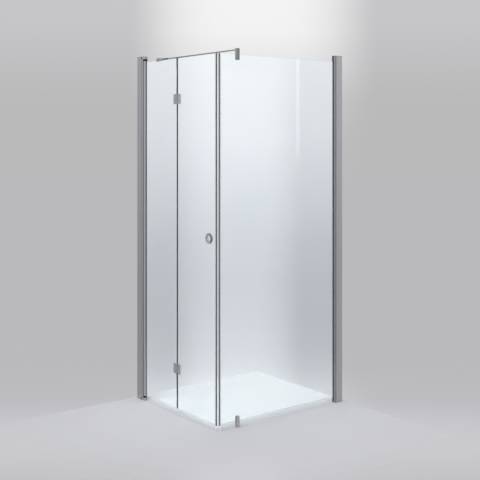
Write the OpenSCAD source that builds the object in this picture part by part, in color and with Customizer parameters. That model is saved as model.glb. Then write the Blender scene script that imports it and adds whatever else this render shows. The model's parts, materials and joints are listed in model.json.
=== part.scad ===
// Corner shower enclosure with a two-leaf folding door and one fixed glass panel.
// Z is up. The door faces -Y and runs from the outer corner to the wall at -X.
// The fixed panel faces +X and runs from the outer corner to the wall at +Y.
// Door parts are drawn with t, the distance from the outer corner towards the wall at -X.
// Panel parts are drawn with u, the distance from the outer corner towards the wall at +Y.

/* [Enclosure] */
// Door side, from the outer glass face of the panel to the wall
door_side = 775; // [740:5:1000]
// Panel side, from the outer glass face of the door to the wall
panel_side = 890; // [860:5:1200]
// Thickness of the safety glass
glass_thick = 6; // [5:0.5:8]
// Height of the lower glass edge above the floor
glass_lift = 28; // [26:1:40]
// Height of the glass panes
glass_height = 1938; // [1700:2:2050]
// How far the wall profiles stand above the glass
profile_over = 34; // [34:1:60]

/* [Wall profiles] */
// Width of a wall profile, from the wall to its open edge
profile_width = 44; // [42:1:60]
// Depth of a wall profile across the glass
profile_depth = 32; // [31:0.5:40]
// Wall thickness of a wall profile
profile_wall = 2; // [1.5:0.1:2.4]
// Corner radius of a wall profile
profile_round = 2.5; // [1:0.1:4]
// Thickness of the plate of a profile cap
cap_thick = 2; // [1:0.5:3]
// Length of the peg under a profile cap
cap_peg = 8; // [5:1:12]
// Clearance between a wall profile and the profile inside it
nest_clear = 0.3; // [0.2:0.1:0.5]
// Wall thickness of the inner profiles
nest_wall = 1.8; // [1.5:0.1:2.2]
// Length of the inner profiles that is hidden in the wall profiles
nest_hidden = 36; // [30:1:37]
// Visible width of the hinge post on the door side
post_reach = 17; // [9:0.5:20]
// Visible width of the adjusting profile on the panel side
panel_reach = 15; // [10:0.5:20]
// Length of the adjusting profile's narrow nose
nose_length = 9; // [6:0.5:10]
// Wall of the nose beside the glass pocket
nose_wall = 2.5; // [1.8:0.1:3.5]
// Radius of the wall screw holes
wall_hole_r = 2.5; // [2:0.1:3]
// Distance of the end wall screw holes from the floor and from the profile's top
wall_hole_end = 150; // [100:5:200]
// Diameter of the profile screws
side_screw_d = 4; // [3:0.5:5]
// Diameter of the heads of the profile screws
side_head_d = 8; // [7:0.5:9]
// Height of the heads of the profile screws
side_head_h = 2.2; // [1.5:0.1:3]
// Length of a profile screw's thread
side_screw_length = 7; // [6:0.5:9]
// Distance of the profile screws from the open edge of the wall profile
side_screw_in = 12; // [8:1:18]
// Distance of the panel's end profile screws from the profile ends
side_screw_end = 100; // [60:5:140]

/* [Pivot] */
// Diameter of the pivot tube
tube_d = 24; // [22:0.5:26]
// Distance of the pivot axis from the face of the hinge post
pivot_set = 6; // [4:0.5:8]
// Running clearance between the pivot tube and the hinge post
tube_clear = 0.8; // [0.5:0.1:1.2]
// Bore of the pivot tube
tube_bore_d = 10; // [9:0.2:10.4]
// Diameter of the pivot pins
pivot_pin_d = 6; // [5:0.2:7]
// Depth of the glass slot in the pivot tube
slot_depth = 6; // [5:0.2:6.4]
// Thickness of the glazing strip in the pivot tube
slot_strip = 1; // [0.8:0.1:1.4]
// How far the glazing strip stands out of the pivot tube
slot_lip = 0.6; // [0.3:0.1:1]
// Height of the pivot brackets
bracket_height = 14; // [12:0.5:15]
// Width of the pivot brackets
bracket_width = 24; // [20:0.5:26]
// Height of the bush collars
collar_height = 11.7; // [8:0.1:12]
// Diameter of the bush collars
collar_d = 22; // [18:0.5:23]
// Length of a bush inside the pivot tube
bush_length = 30; // [20:1:50]
// How deep a pivot pin sits in its bracket
pin_seat = 12; // [8:0.5:13]
// Axial play between a bush collar and its bracket
collar_play = 0.3; // [0.2:0.1:0.5]
// Width of the wiper in the hinge post
wiper_width = 5; // [3:0.5:8]
// Thickness of the wiper in the hinge post
wiper_thick = 1.6; // [1:0.1:2]
// Rubbing gap between the wiper and the pivot tube
wiper_gap = 0.3; // [0.1:0.1:0.4]

/* [Door leaves] */
// Distance of the fold axis from the outer corner
fold_t = 371; // [300:1:400]
// Gap between the two glass leaves at the fold
fold_gap = 9; // [9:0.2:11]
// Gap between the fold seal's bulb and the other leaf
bulb_gap = 0.5; // [0.3:0.1:0.8]
// Thickness of the flanges of the plastic seals
seal_flange = 1.2; // [0.8:0.1:1.4]
// Length of the flanges of the plastic seals on the glass
seal_grip = 9; // [7:0.5:12]
// Air gap between a seal's end and a hinge plate
seal_end_gap = 0.8; // [0.4:0.1:1.2]

/* [Fold hinges] */
// Distance of a fold hinge's centre from the glass ends
hinge_inset = 226; // [120:2:320]
// Width of a fold hinge over both plates
hinge_width = 62; // [60:1:80]
// Height of a fold hinge
hinge_height = 55; // [46:1:70]
// Thickness of the hinge plates
hinge_plate = 5; // [4.5:0.1:6]
// Thickness of the gaskets under the hinge plates
hinge_gasket = 1; // [0.6:0.1:1.5]
// Diameter of the hinge knuckles
knuckle_d = 12; // [10:0.5:12]
// Gap between a knuckle and the plate of the other leaf
knuckle_gap = 0.4; // [0.3:0.1:0.6]
// Axial gap between the knuckles
knuckle_play = 0.3; // [0.2:0.1:0.5]
// Diameter of the hinge pins
hinge_pin_d = 5; // [4:0.2:6]
// Corner radius of the hinge plates
plate_round = 2; // [1:0.2:3]
// Distance of the hinge screws from the fold axis
hinge_screw_out = 19; // [18:0.5:21]
// Distance of the hinge screws above and below the hinge's centre
hinge_screw_up = 14; // [11:0.5:16]
// Diameter of the hinge screws' flush heads
flush_head_d = 14; // [12:0.2:16]
// Height of the hinge screws' flush heads
flush_head_h = 4; // [3:0.1:4.5]
// Wall of the sleeves between the hinge screws and the glass
sleeve_cone = 1; // [0.6:0.1:1.4]
// Diameter of the glass clamping screws
clamp_screw_d = 5; // [4:0.2:6]
// Diameter of the glass clamping screws' heads
clamp_head_d = 9; // [8:0.2:10]
// Depth of the glass clamping screws' heads
clamp_head_h = 2; // [1.5:0.1:2.5]
// Radius of the holes in the glass
glass_hole_r = 5; // [4:0.2:6]

/* [Corner seals] */
// Width of the panel seal's closing lip across the door's end
corner_lip = 7.5; // [7.5:0.1:9]
// Gap between the closed door and the panel seal
closing_gap = 0.6; // [0.5:0.1:1]
// Width of the magnet pockets
pocket_width = 9; // [8:0.2:11]
// Width of the magnet strips
magnet_width = 7; // [5:0.2:7.5]
// Thickness of the magnet strips
magnet_thick = 3.6; // [2:0.1:3.8]
// Distance of the panel's magnet pocket from the outer corner
pocket_start = 9; // [8:0.2:12]

/* [Bottom seals] */
// Height of the door threshold
threshold_height = 12; // [8:0.5:13]
// Width of the door threshold
threshold_width = 20; // [14:1:24]
// Width of the top of the door threshold
threshold_top = 12; // [8:0.5:13]
// Gap between the door's drip fin and the threshold
fin_gap = 0.5; // [0.3:0.1:1]
// Outer diameter of the drip seal's tube
bulb_d = 8; // [6:0.2:8]
// Wall of the drip seal's tube
bulb_wall = 1.2; // [0.8:0.1:1.6]
// Thickness of the drip fin
fin_thick = 1.6; // [1:0.1:2]
// Length of the corner block along the panel
corner_block_length = 27; // [24:0.5:30]
// Small gap between seals that meet end to end
joint_gap = 0.3; // [0.2:0.1:0.5]

/* [Glazing gasket] */
// Width of the rubber between the fixed glass and its profile
gasket_thick = 3; // [2:0.1:3.5]
// Depth of the glass pocket in the adjusting profile
pocket_depth = 20; // [16:0.5:24]
// Width of the gasket's bead in front of the profile
bead_width = 3.5; // [3:0.1:5]
// Height of the gasket's bead above the glass
bead_height = 4; // [3:0.1:4.5]

/* [Clamps] */
// Distance of the glass clamps from the outer corner
clamp_u = 132; // [100:1:260]
// Width of the glass clamps
clamp_width = 20; // [18:0.5:30]
// Thickness of the clamp plates
clamp_plate = 4; // [3.5:0.1:6]
// Thickness of the rubber pads in the clamps
clamp_pad = 1; // [0.5:0.1:2]
// Height of the floor clamp
floor_clamp_height = 58; // [54:1:80]
// Thickness of the setting block under the glass
setting_block = 2; // [1:0.2:3]
// Radius of the floor screw's hole
floor_hole_r = 2.75; // [2:0.05:3]
// Radius of the recess for the floor screw's head
floor_head_r = 5.2; // [4.5:0.1:5.6]
// Depth of the recess for the floor screw's head
floor_head_h = 5; // [3:0.5:6]
// How far the bar clamp reaches down over the glass
bar_clamp_grip = 29; // [26:1:40]
// Gap between the glass edge and the block of the bar clamp
edge_gap = 0.6; // [0.3:0.1:1]
// Corner radius of the clamps
clamp_round = 4; // [2:0.5:6]

/* [Stabiliser bar] */
// Height of the bar's axis above the glass
bar_rise = 25; // [23:0.5:26]
// Diameter of the bar
bar_d = 8; // [7:0.2:9]
// Material of the bar clamp above the bar's axis
bar_cover = 8; // [7.5:0.1:8.5]
// How deep the bar sits in its clamp
bar_seat = 11; // [8:0.5:12]
// Diameter of the wall socket at its flange
socket_d = 23; // [20:0.5:24]
// Thickness of the wall socket's flange
socket_flange = 3; // [2:0.5:5]
// Diameter of the wall socket's narrow end
socket_nose_d = 14; // [13:0.5:16]
// Length of the wall socket
socket_length = 70; // [60:1:90]
// Depth of the socket's bore for the sleeve
socket_bore = 36; // [26:1:40]
// Wall of the sleeve on the bar
sleeve_wall = 1; // [0.8:0.1:1.6]
// Visible length of the sleeve in front of the socket
sleeve_reach = 42; // [20:1:60]
// Radius of the hole for the wall stud in the socket
stud_hole_r = 3.25; // [2.5:0.05:4]
// Depth of the hole for the wall stud
stud_hole_depth = 20; // [15:0.5:22]
// Diameter of the set screws
set_screw_d = 4; // [3:0.2:4.6]

/* [Ring grip] */
// Distance of the grip's axis from the outer corner
grip_t = 76; // [64:1:120]
// Height of the grip's axis above the floor
grip_z = 997; // [900:1:1100]
// Outer diameter of the grip rings
grip_d = 56; // [50:1:66]
// Diameter of the finger hole
grip_bore_d = 32; // [24:0.5:34]
// Thickness of the outer ring's flange
grip_flange = 2.6; // [2:0.1:4]
// Thickness of the inner ring
grip_ring = 2.4; // [2:0.1:4]
// Rounding of the rings' edges
grip_round = 1; // [0.4:0.1:1.4]
// Wall of the barrel that passes the glass
barrel_wall = 2.5; // [1.5:0.1:3]
// Wall of the plastic liner between the barrel and the glass
liner_wall = 1.5; // [1:0.1:2]
// Thickness of the gaskets under the rings
grip_gasket = 0.5; // [0.3:0.1:1]
// How far the gaskets lie back from the rims of the rings
gasket_back = 0.8; // [0.4:0.1:2]

/* [Hidden] */
$fn = 48;

// Clearances of pins and screws in their holes
run_clear = 0.05;
screw_clear = 0.1;
// Length by which a cut passes a face, so that no skin is left
past = 1;
// Metal left between a blind screw hole and the visible face
blind_skin = 1.5;
// Gap between a screw's tip and the end of its blind hole
tip_gap = 0.5;
// How far a set screw lies below the surface
set_sink = 0.5;
// How far the flanges of a seal reach back over its body
seal_root = 1;
// How deep a drip seal's tube merges into its body
bulb_sink = 0.4;
// Height of the threshold's upright edges
threshold_edge = 2;
// How far a pivot pin stops short of its bush's end
pin_short = 2;
// How far the hinge gaskets stop short of the glass edge
gasket_inset = 2;
// Step from the wall socket's flange to its taper
socket_step = 1;
// How far the grip's barrel ends below the inner ring's face
barrel_sink = 0.4;

// Heights
glass_top = glass_lift + glass_height;
total_height = glass_top + profile_over;
profile_top = total_height - cap_thick;
mid_height = total_height / 2;

// Middle planes of the door glass in Y and of the fixed glass in X
door_mid = glass_thick / 2;
panel_mid = -glass_thick / 2;

// Wall profiles and what is nested in them
profile_half = profile_depth / 2;
channel_half = profile_half - profile_wall;
nest_half = channel_half - nest_clear;
door_mouth = door_side - profile_width;
panel_mouth = panel_side - profile_width;
post_face = door_mouth - post_reach;
post_end = door_mouth + nest_hidden;
adjust_face = panel_mouth - panel_reach;
profile_out = profile_half - door_mid;

// Pivot
pivot_t = post_face - pivot_set;
tube_r = tube_d / 2;
recess_r = tube_r + tube_clear;
upper_bracket_z = profile_top - bracket_height;
lower_bracket_top = glass_lift - collar_height - collar_play;
tube_low = glass_lift;
tube_top = upper_bracket_z - collar_play - collar_height;
slot_end = pivot_t - tube_r + slot_depth;
wiper_t = pivot_t + tube_r + wiper_gap;

// Door leaves
wall_leaf_start = fold_t + fold_gap / 2;
wall_leaf_end = slot_end - slot_strip;
door_end = corner_lip + closing_gap;
grip_leaf_start = door_end + pocket_width;
grip_leaf_end = fold_t - fold_gap / 2;

// Fold hinges
hinge_zs = [glass_lift + hinge_inset, glass_top - hinge_inset];
hinge_y = -hinge_gasket - hinge_plate;
knuckle_r = knuckle_d / 2;
knuckle_third = hinge_height / 3;
plate_start = knuckle_r + knuckle_gap;
plate_end = hinge_width / 2;
gasket_start = fold_gap / 2 + gasket_inset;
screw_depth = hinge_plate - blind_skin;
flush_head_r = flush_head_d / 2;
seat_r = flush_head_r + sleeve_cone;

// Corner and bottom seals
panel_edge = pocket_start + pocket_width;
fin_low = threshold_height + fin_gap;
drip_end = pivot_t - tube_r - slot_lip - joint_gap;
magnet_inset = (pocket_width - magnet_width) / 2;

// Fixed glass in its pocket
pocket_end = adjust_face + pocket_depth;
fixed_glass_end = pocket_end - gasket_thick;

// Clamps and bar
clamp_low_u = clamp_u - clamp_width / 2;
clamp_high_u = clamp_u + clamp_width / 2;
clamp_out = clamp_pad + clamp_plate;
clamp_in = -glass_thick - clamp_pad - clamp_plate;
clamp_base = glass_lift - setting_block;
floor_screw_z = (glass_lift + floor_clamp_height) / 2;
bar_z = glass_top + bar_rise;
bar_clamp_top = bar_z + bar_cover;
bar_clamp_low = glass_top - bar_clamp_grip;
bar_screw_z = glass_top - bar_clamp_grip / 2;
bar_r = bar_d / 2;
bar_in = clamp_in + bar_seat;
sleeve_r = bar_r + run_clear + sleeve_wall;
socket_nose = door_side - socket_length;
bar_end_t = socket_nose + socket_bore;
set_screw_t = socket_nose + socket_bore / 2;
taper_start_r = socket_d / 2 - socket_step;
taper_slope = (taper_start_r - socket_nose_d / 2) / (socket_length - socket_flange);
set_screw_r = socket_nose_d / 2 + taper_slope * socket_bore / 2;

// Ring grip
grip_r = grip_d / 2;
grip_bore_r = grip_bore_d / 2;
barrel_r = grip_bore_r + barrel_wall;
grip_hole_r = barrel_r + run_clear + liner_wall;
grip_out = grip_gasket + grip_flange;

// The origin is on the floor, in the middle of the enclosure's outer box
reach_front = max(profile_out, grip_out, knuckle_r - hinge_y);
reach_side = max(profile_out, clamp_out);
shift_x = (door_side - reach_side) / 2;
shift_y = (reach_front - panel_side) / 2;

// Children are placed from the outer corner, with X and Y as in the finished part
module from_corner() {
    translate([shift_x, shift_y, 0])
        children();
}

// Children are placed with t along the door, counted from the outer corner
module along_door() {
    from_corner()
        mirror([1, 0, 0])
            children();
}

// A box from its lowest to its highest corner
module box(low, high) {
    translate(low)
        cube(high - low);
}

// An upright prism over a flat shape
module upright(low, high) {
    translate([0, 0, low])
        linear_extrude(height = high - low)
            children();
}

// A flat rectangle with round corners
module round_rect(low, high, r) {
    size = high - low;
    translate([low[0] + r, low[1]])
        square([size[0] - 2 * r, size[1]]);
    translate([low[0], low[1] + r])
        square([size[0], size[1] - 2 * r]);
    for (x = [low[0] + r, high[0] - r], y = [low[1] + r, high[1] - r])
        translate([x, y])
            circle(r = r);
}

// A rod along Y from y0 to y1 at t or x
module rod_y(x, z, y0, y1, r) {
    translate([x, y0, z])
        rotate([-90, 0, 0])
            cylinder(h = y1 - y0, r = r);
}

// A rod along X from x0 to x1
module rod_x(y, z, x0, x1, r) {
    translate([x0, y, z])
        rotate([0, 90, 0])
            cylinder(h = x1 - x0, r = r);
}

// Flat section of a wall profile: its mouth is at 0 and its back at profile_width
module wall_section() {
    difference() {
        translate([0, -profile_half])
            round_rect([0, 0], [profile_width, profile_depth], profile_round);
        translate([-past, -channel_half])
            square([profile_width - profile_wall + past, 2 * channel_half]);
    }
}

// Where the wall screws pass the back of a wall profile
wall_hole_zs = [wall_hole_end, mid_height, total_height - wall_hole_end];

module wall_profile() {
    difference() {
        upright(0, profile_top)
            wall_section();
        for (z = wall_hole_zs)
            rod_x(0, z, profile_width - profile_wall - past, profile_width + past, wall_hole_r);
    }
}

// The door's profile screws hold the brackets and the post, the panel's hold its inner profile
post_screw_zs = [lower_bracket_top / 2, mid_height, profile_top - bracket_height / 2];
panel_screw_zs = [side_screw_end, mid_height, total_height - side_screw_end];

// Profile screws stand on the inner side of a wall profile, at the given heights
module side_screw_holes(zs) {
    for (z = zs)
        rod_y(side_screw_in, z, nest_half - nest_wall - side_screw_length,
              profile_half + past, side_screw_d / 2 + screw_clear);
}

module side_screws(zs) {
    for (z = zs) {
        rod_y(side_screw_in, z, profile_half - side_screw_length, profile_half, side_screw_d / 2);
        rod_y(side_screw_in, z, profile_half, profile_half + side_head_h, side_head_d / 2);
    }
}

// Places a profile drawn with its mouth at 0 and its middle plane at 0
module at_door_wall() {
    along_door()
        translate([door_mouth, door_mid, 0])
            children();
}

module at_panel_wall() {
    from_corner()
        translate([panel_mid, panel_mouth, 0])
            rotate([0, 0, 90])
                children();
}

module door_wall_profile() {
    color("#a9adb0")
        at_door_wall()
            difference() {
                wall_profile();
                side_screw_holes(post_screw_zs);
            }
}

module panel_wall_profile() {
    color("#a9adb0")
        at_panel_wall()
            difference() {
                wall_profile();
                side_screw_holes(panel_screw_zs);
            }
}

// The cap covers both profiles, and its peg fills the channel behind the inner one
module profile_cap(reach) {
    translate([0, 0, profile_top]) {
        linear_extrude(height = cap_thick) {
            translate([0, -profile_half])
                round_rect([0, 0], [profile_width, profile_depth], profile_round);
            translate([-reach, -nest_half])
                square([reach + past, 2 * nest_half]);
        }
        box([nest_hidden + nest_clear, -nest_half, -cap_peg],
            [profile_width - profile_wall - nest_clear, nest_half, 0]);
    }
}

module door_profile_cap() {
    color("#8f9396")
        at_door_wall()
            profile_cap(post_reach);
}

module panel_profile_cap() {
    color("#8f9396")
        at_panel_wall() {
            profile_cap(-shoulder);
            box([-panel_reach, -nose_half, profile_top], [shoulder + past, nose_half, total_height]);
        }
}

module profile_screws() {
    color("#c9ccce") {
        at_door_wall()
            side_screws(post_screw_zs);
        at_panel_wall()
            side_screws(panel_screw_zs);
    }
}

// The post carries the pivot brackets and has a round recess for the pivot tube
module hinge_post() {
    hollow = post_reach + nest_hidden - pivot_bulk;
    color("#b4b8bb")
        at_door_wall()
            difference() {
                upright(lower_bracket_top, upper_bracket_z)
                    difference() {
                        translate([-post_reach, -nest_half])
                            square([post_reach + nest_hidden, 2 * nest_half]);
                        translate([-post_reach - pivot_set, 0])
                            circle(r = recess_r);
                        translate([nest_hidden - hollow, nest_wall - nest_half])
                            square([hollow + past, 2 * (nest_half - nest_wall)]);
                        translate([wiper_t - door_mouth, -wiper_width / 2])
                            square([wiper_thick, wiper_width]);
                    }
                side_screw_holes(post_screw_zs);
            }
}

// Depth of the solid part of the post, from its face to behind the recess and the wiper
pivot_bulk = recess_r - pivot_set + wiper_thick + nest_wall;

module post_wiper() {
    color("#2b2d2f")
        at_door_wall()
            upright(lower_bracket_top, upper_bracket_z)
                translate([wiper_t - door_mouth, -wiper_width / 2])
                    square([wiper_thick, wiper_width]);
}

// Bracket with a round nose around the pivot axis
module pivot_bracket(low, high, pin_low, pin_high) {
    at_door_wall()
        difference() {
            upright(low, high) {
                translate([pivot_t - door_mouth, 0])
                    circle(r = bracket_width / 2);
                translate([pivot_t - door_mouth, -bracket_width / 2])
                    square([post_end - pivot_t, bracket_width]);
            }
            translate([pivot_t - door_mouth, 0, pin_low])
                cylinder(h = pin_high - pin_low, r = pivot_pin_d / 2 + run_clear);
            side_screw_holes(post_screw_zs);
        }
}

module upper_pivot_bracket() {
    color("#9a9ea1")
        pivot_bracket(upper_bracket_z, profile_top, upper_bracket_z - past, upper_bracket_z + pin_seat);
}

module lower_pivot_bracket() {
    color("#9a9ea1")
        pivot_bracket(0, lower_bracket_top, lower_bracket_top - pin_seat, lower_bracket_top + past);
}

module at_pivot() {
    along_door()
        translate([pivot_t, door_mid, 0])
            children();
}

// A pin reaches from its bracket to near the end of its bush
pin_reach = collar_play + collar_height + bush_length - pin_short;

module upper_pivot_pin() {
    color("#d0d3d5")
        at_pivot()
            translate([0, 0, upper_bracket_z - pin_reach])
                cylinder(h = pin_reach + pin_seat, r = pivot_pin_d / 2);
}

module lower_pivot_pin() {
    color("#d0d3d5")
        at_pivot()
            translate([0, 0, lower_bracket_top - pin_seat])
                cylinder(h = pin_reach + pin_seat, r = pivot_pin_d / 2);
}

// A bush is a collar under the tube and a sleeve in the tube's bore
module pivot_bush() {
    difference() {
        union() {
            cylinder(h = collar_height, r = collar_d / 2);
            cylinder(h = collar_height + bush_length, r = tube_bore_d / 2);
        }
        translate([0, 0, -past])
            cylinder(h = collar_height + bush_length + 2 * past, r = pivot_pin_d / 2 + run_clear);
    }
}

module lower_pivot_bush() {
    color("#1d1e20")
        at_pivot()
            translate([0, 0, tube_low - collar_height])
                pivot_bush();
}

module upper_pivot_bush() {
    color("#1d1e20")
        at_pivot()
            translate([0, 0, tube_top + collar_height])
                mirror([0, 0, 1])
                    pivot_bush();
}

// The tube turns with the wall leaf and grips its glass in a slot
slot_half = glass_thick / 2 + slot_strip;

module pivot_tube() {
    color("#c2c6c9")
        at_pivot()
            upright(tube_low, tube_top)
                difference() {
                    circle(r = tube_r);
                    circle(r = tube_bore_d / 2);
                    translate([-tube_r - past, -slot_half])
                        square([slot_depth + past, 2 * slot_half]);
                }
}

module tube_glazing_strip() {
    color("#3a3d40")
        at_pivot()
            upright(tube_low, glass_top)
                difference() {
                    translate([-tube_r - slot_lip, -slot_half])
                        square([slot_depth + slot_lip, 2 * slot_half]);
                    translate([-tube_r - slot_lip - past, -glass_thick / 2])
                        square([slot_depth - slot_strip + slot_lip + past, glass_thick]);
                }
}

// Shape of a hinge screw's hole in the glass, shrunk by a gap, from y0 to the inner face
module cone_seat(y0, gap) {
    rotate([90, 0, 0])
        translate([0, 0, -glass_thick]) {
            cylinder(h = seat_r - glass_hole_r, r1 = seat_r - gap, r2 = glass_hole_r - gap);
            cylinder(h = glass_thick - y0, r = glass_hole_r - gap);
        }
}

// Holes in the glass for the two screws of each fold hinge, on the side of the given sign
module hinge_glass_holes(side) {
    for (z = hinge_zs, dz = [-hinge_screw_up, hinge_screw_up])
        translate([fold_t + side * hinge_screw_out, 0, z + dz]) {
            cone_seat(-past, 0);
            rod_y(0, 0, glass_thick, glass_thick + past, seat_r);
        }
}

module wall_leaf_glass() {
    color("#cfe3e6", 0.35)
        along_door()
            difference() {
                box([wall_leaf_start, 0, glass_lift], [wall_leaf_end, glass_thick, glass_top]);
                hinge_glass_holes(1);
            }
}

module grip_leaf_glass() {
    color("#cfe3e6", 0.35)
        along_door()
            difference() {
                box([grip_leaf_start, 0, glass_lift], [grip_leaf_end, glass_thick, glass_top]);
                hinge_glass_holes(-1);
                rod_y(grip_t, grip_z, -past, glass_thick + past, grip_hole_r);
            }
}

// Section of a drip seal across the glass, with the glass edge at height 0
module drip_section() {
    tube_z = bulb_sink - seal_flange - bulb_d / 2;
    difference() {
        union() {
            translate([-seal_flange, -seal_flange])
                square([glass_thick + 2 * seal_flange, seal_grip + seal_flange]);
            translate([glass_thick / 2, tube_z])
                circle(d = bulb_d);
            translate([(glass_thick - fin_thick) / 2, fin_low - glass_lift])
                square([fin_thick, glass_lift - fin_low + tube_z - bulb_wall]);
        }
        square([glass_thick, seal_grip + past]);
        translate([glass_thick / 2, tube_z])
            circle(d = bulb_d - 2 * bulb_wall);
    }
}

// Runs a section drawn in Y and Z along the door from t0 to t1
module run_along_door(t0, t1) {
    along_door()
        translate([t0, 0, 0])
            rotate([90, 0, 90])
                linear_extrude(height = t1 - t0)
                    children();
}

module wall_leaf_drip_seal() {
    color("#e6edf0")
        run_along_door(wall_leaf_start, drip_end)
            translate([0, glass_lift])
                drip_section();
}

module grip_leaf_drip_seal() {
    color("#e6edf0")
        run_along_door(grip_leaf_start + seal_grip + joint_gap, grip_leaf_end)
            translate([0, glass_lift])
                drip_section();
}

// Stretches of the fold between the glass ends and the hinges
drip_top = glass_lift + seal_grip + joint_gap;
fold_stretches = [
    [drip_top, hinge_zs[0] - hinge_height / 2 - seal_end_gap],
    [hinge_zs[0] + hinge_height / 2 + seal_end_gap, hinge_zs[1] - hinge_height / 2 - seal_end_gap],
    [hinge_zs[1] + hinge_height / 2 + seal_end_gap, glass_top]
];

// The fold seal grips the wall leaf's edge, and its soft body closes the gap
module fold_seal() {
    color("#3b3f42")
        along_door()
            for (stretch = fold_stretches)
                upright(stretch[0], stretch[1])
                    difference() {
                        union() {
                            translate([grip_leaf_end + bulb_gap, 0])
                                square([fold_gap - bulb_gap, glass_thick]);
                            translate([wall_leaf_start - seal_root, -seal_flange])
                                square([seal_grip + seal_root, glass_thick + 2 * seal_flange]);
                        }
                        translate([wall_leaf_start, 0])
                            square([seal_grip + past, glass_thick]);
                    }
}

// Flat outline of a hinge plate in t and z, from a start to the plate's outer end
module plate_outline(start) {
    round_rect([start, -hinge_height / 2], [plate_end, hinge_height / 2], plate_round);
}

// Stands a flat outline drawn in t and z upright, from y0 to y1
module slab_y(y0, y1) {
    translate([0, y1, 0])
        rotate([90, 0, 0])
            linear_extrude(height = y1 - y0)
                children();
}

// Height range of the outer knuckles and the middle one, from the hinge's centre
outer_knuckles = [
    [-hinge_height / 2, -knuckle_third / 2 - knuckle_play],
    [knuckle_third / 2 + knuckle_play, hinge_height / 2]
];
middle_knuckle = [[-knuckle_third / 2, knuckle_third / 2]];

// Plate of a fold hinge, drawn on the wall side of the fold axis
module hinge_leaf(knuckles, pin_gap) {
    difference() {
        union() {
            slab_y(hinge_y, -hinge_gasket)
                plate_outline(plate_start);
            for (span = knuckles) {
                translate([0, hinge_y, span[0]])
                    cylinder(h = span[1] - span[0], r = knuckle_r);
                box([0, hinge_y, span[0]], [plate_start + plate_round, -hinge_gasket, span[1]]);
            }
        }
        for (span = knuckles)
            translate([0, hinge_y, span[0] - past])
                cylinder(h = span[1] - span[0] + 2 * past, r = hinge_pin_d / 2 + pin_gap);
        for (dz = [-hinge_screw_up, hinge_screw_up])
            rod_y(hinge_screw_out, dz, -hinge_gasket - screw_depth, -hinge_gasket + past,
                  clamp_screw_d / 2 + screw_clear);
    }
}

// Screws whose wide heads lie flush with the inner face of the glass
module hinge_screw_pair() {
    for (dz = [-hinge_screw_up, hinge_screw_up])
        translate([hinge_screw_out, glass_thick, dz])
            rotate([90, 0, 0]) {
                cylinder(h = flush_head_h, r1 = flush_head_r, r2 = clamp_screw_d / 2);
                cylinder(h = glass_thick + hinge_gasket + screw_depth, r = clamp_screw_d / 2);
            }
}

module flush_screw_hole() {
    grow = screw_clear;
    translate([0, glass_thick, 0])
        rotate([90, 0, 0]) {
            cylinder(h = flush_head_h + grow, r1 = flush_head_r + grow, r2 = clamp_screw_d / 2);
            translate([0, 0, -past])
                cylinder(h = past + grow, r = flush_head_r + grow);
            cylinder(h = glass_thick + past, r = clamp_screw_d / 2 + grow);
        }
}

// Sleeves that keep the screws off the glass
module hinge_sleeve_pair() {
    for (dz = [-hinge_screw_up, hinge_screw_up])
        translate([hinge_screw_out, 0, dz])
            difference() {
                cone_seat(0, run_clear);
                flush_screw_hole();
            }
}

// Gasket between the glass and a hinge plate, with holes for the screws
module hinge_gasket_plate() {
    difference() {
        slab_y(-hinge_gasket, 0)
            plate_outline(gasket_start);
        for (dz = [-hinge_screw_up, hinge_screw_up])
            rod_y(hinge_screw_out, dz, -hinge_gasket - past, past, clamp_screw_d / 2 + screw_clear);
    }
}

// Places a hinge piece of the wall leaf, or mirrors it to the grip leaf
module wall_side(z) {
    along_door()
        translate([fold_t, 0, z])
            children();
}

module grip_side(z) {
    along_door()
        translate([fold_t, 0, z])
            mirror([1, 0, 0])
                children();
}

module upper_hinge_wall_plate() {
    color("#b9bdc0")
        wall_side(hinge_zs[1])
            hinge_leaf(outer_knuckles, run_clear / 2);
}

module lower_hinge_wall_plate() {
    color("#b9bdc0")
        wall_side(hinge_zs[0])
            hinge_leaf(outer_knuckles, run_clear / 2);
}

module upper_hinge_grip_plate() {
    color("#b9bdc0")
        grip_side(hinge_zs[1])
            hinge_leaf(middle_knuckle, run_clear);
}

module lower_hinge_grip_plate() {
    color("#b9bdc0")
        grip_side(hinge_zs[0])
            hinge_leaf(middle_knuckle, run_clear);
}

module wall_leaf_gaskets() {
    color("#d8dcde")
        for (z = hinge_zs)
            wall_side(z)
                hinge_gasket_plate();
}

module grip_leaf_gaskets() {
    color("#d8dcde")
        for (z = hinge_zs)
            grip_side(z)
                hinge_gasket_plate();
}

module wall_leaf_sleeves() {
    color("#e3e8ea")
        for (z = hinge_zs)
            wall_side(z)
                hinge_sleeve_pair();
}

module grip_leaf_sleeves() {
    color("#e3e8ea")
        for (z = hinge_zs)
            grip_side(z)
                hinge_sleeve_pair();
}

module wall_leaf_screws() {
    color("#d0d3d5")
        for (z = hinge_zs)
            wall_side(z)
                hinge_screw_pair();
}

module grip_leaf_screws() {
    color("#d0d3d5")
        for (z = hinge_zs)
            grip_side(z)
                hinge_screw_pair();
}

module hinge_pin(z) {
    along_door()
        translate([fold_t, hinge_y, z - hinge_height / 2])
            cylinder(h = hinge_height, r = hinge_pin_d / 2);
}

module upper_hinge_pin() {
    color("#dde0e2")
        hinge_pin(hinge_zs[1]);
}

module lower_hinge_pin() {
    color("#dde0e2")
        hinge_pin(hinge_zs[0]);
}

// Magnet seal on the edge of the grip leaf
module door_magnet_seal() {
    color("#e6edf0")
        along_door()
            upright(glass_lift, glass_top)
                difference() {
                    union() {
                        translate([door_end, 0])
                            square([pocket_width, glass_thick]);
                        translate([grip_leaf_start - seal_root, -seal_flange])
                            square([seal_grip + seal_root, glass_thick + 2 * seal_flange]);
                    }
                    translate([grip_leaf_start, 0])
                        square([seal_grip + past, glass_thick]);
                    translate([door_end + magnet_inset, door_mid - magnet_thick / 2])
                        square([magnet_width, magnet_thick]);
                }
}

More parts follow.
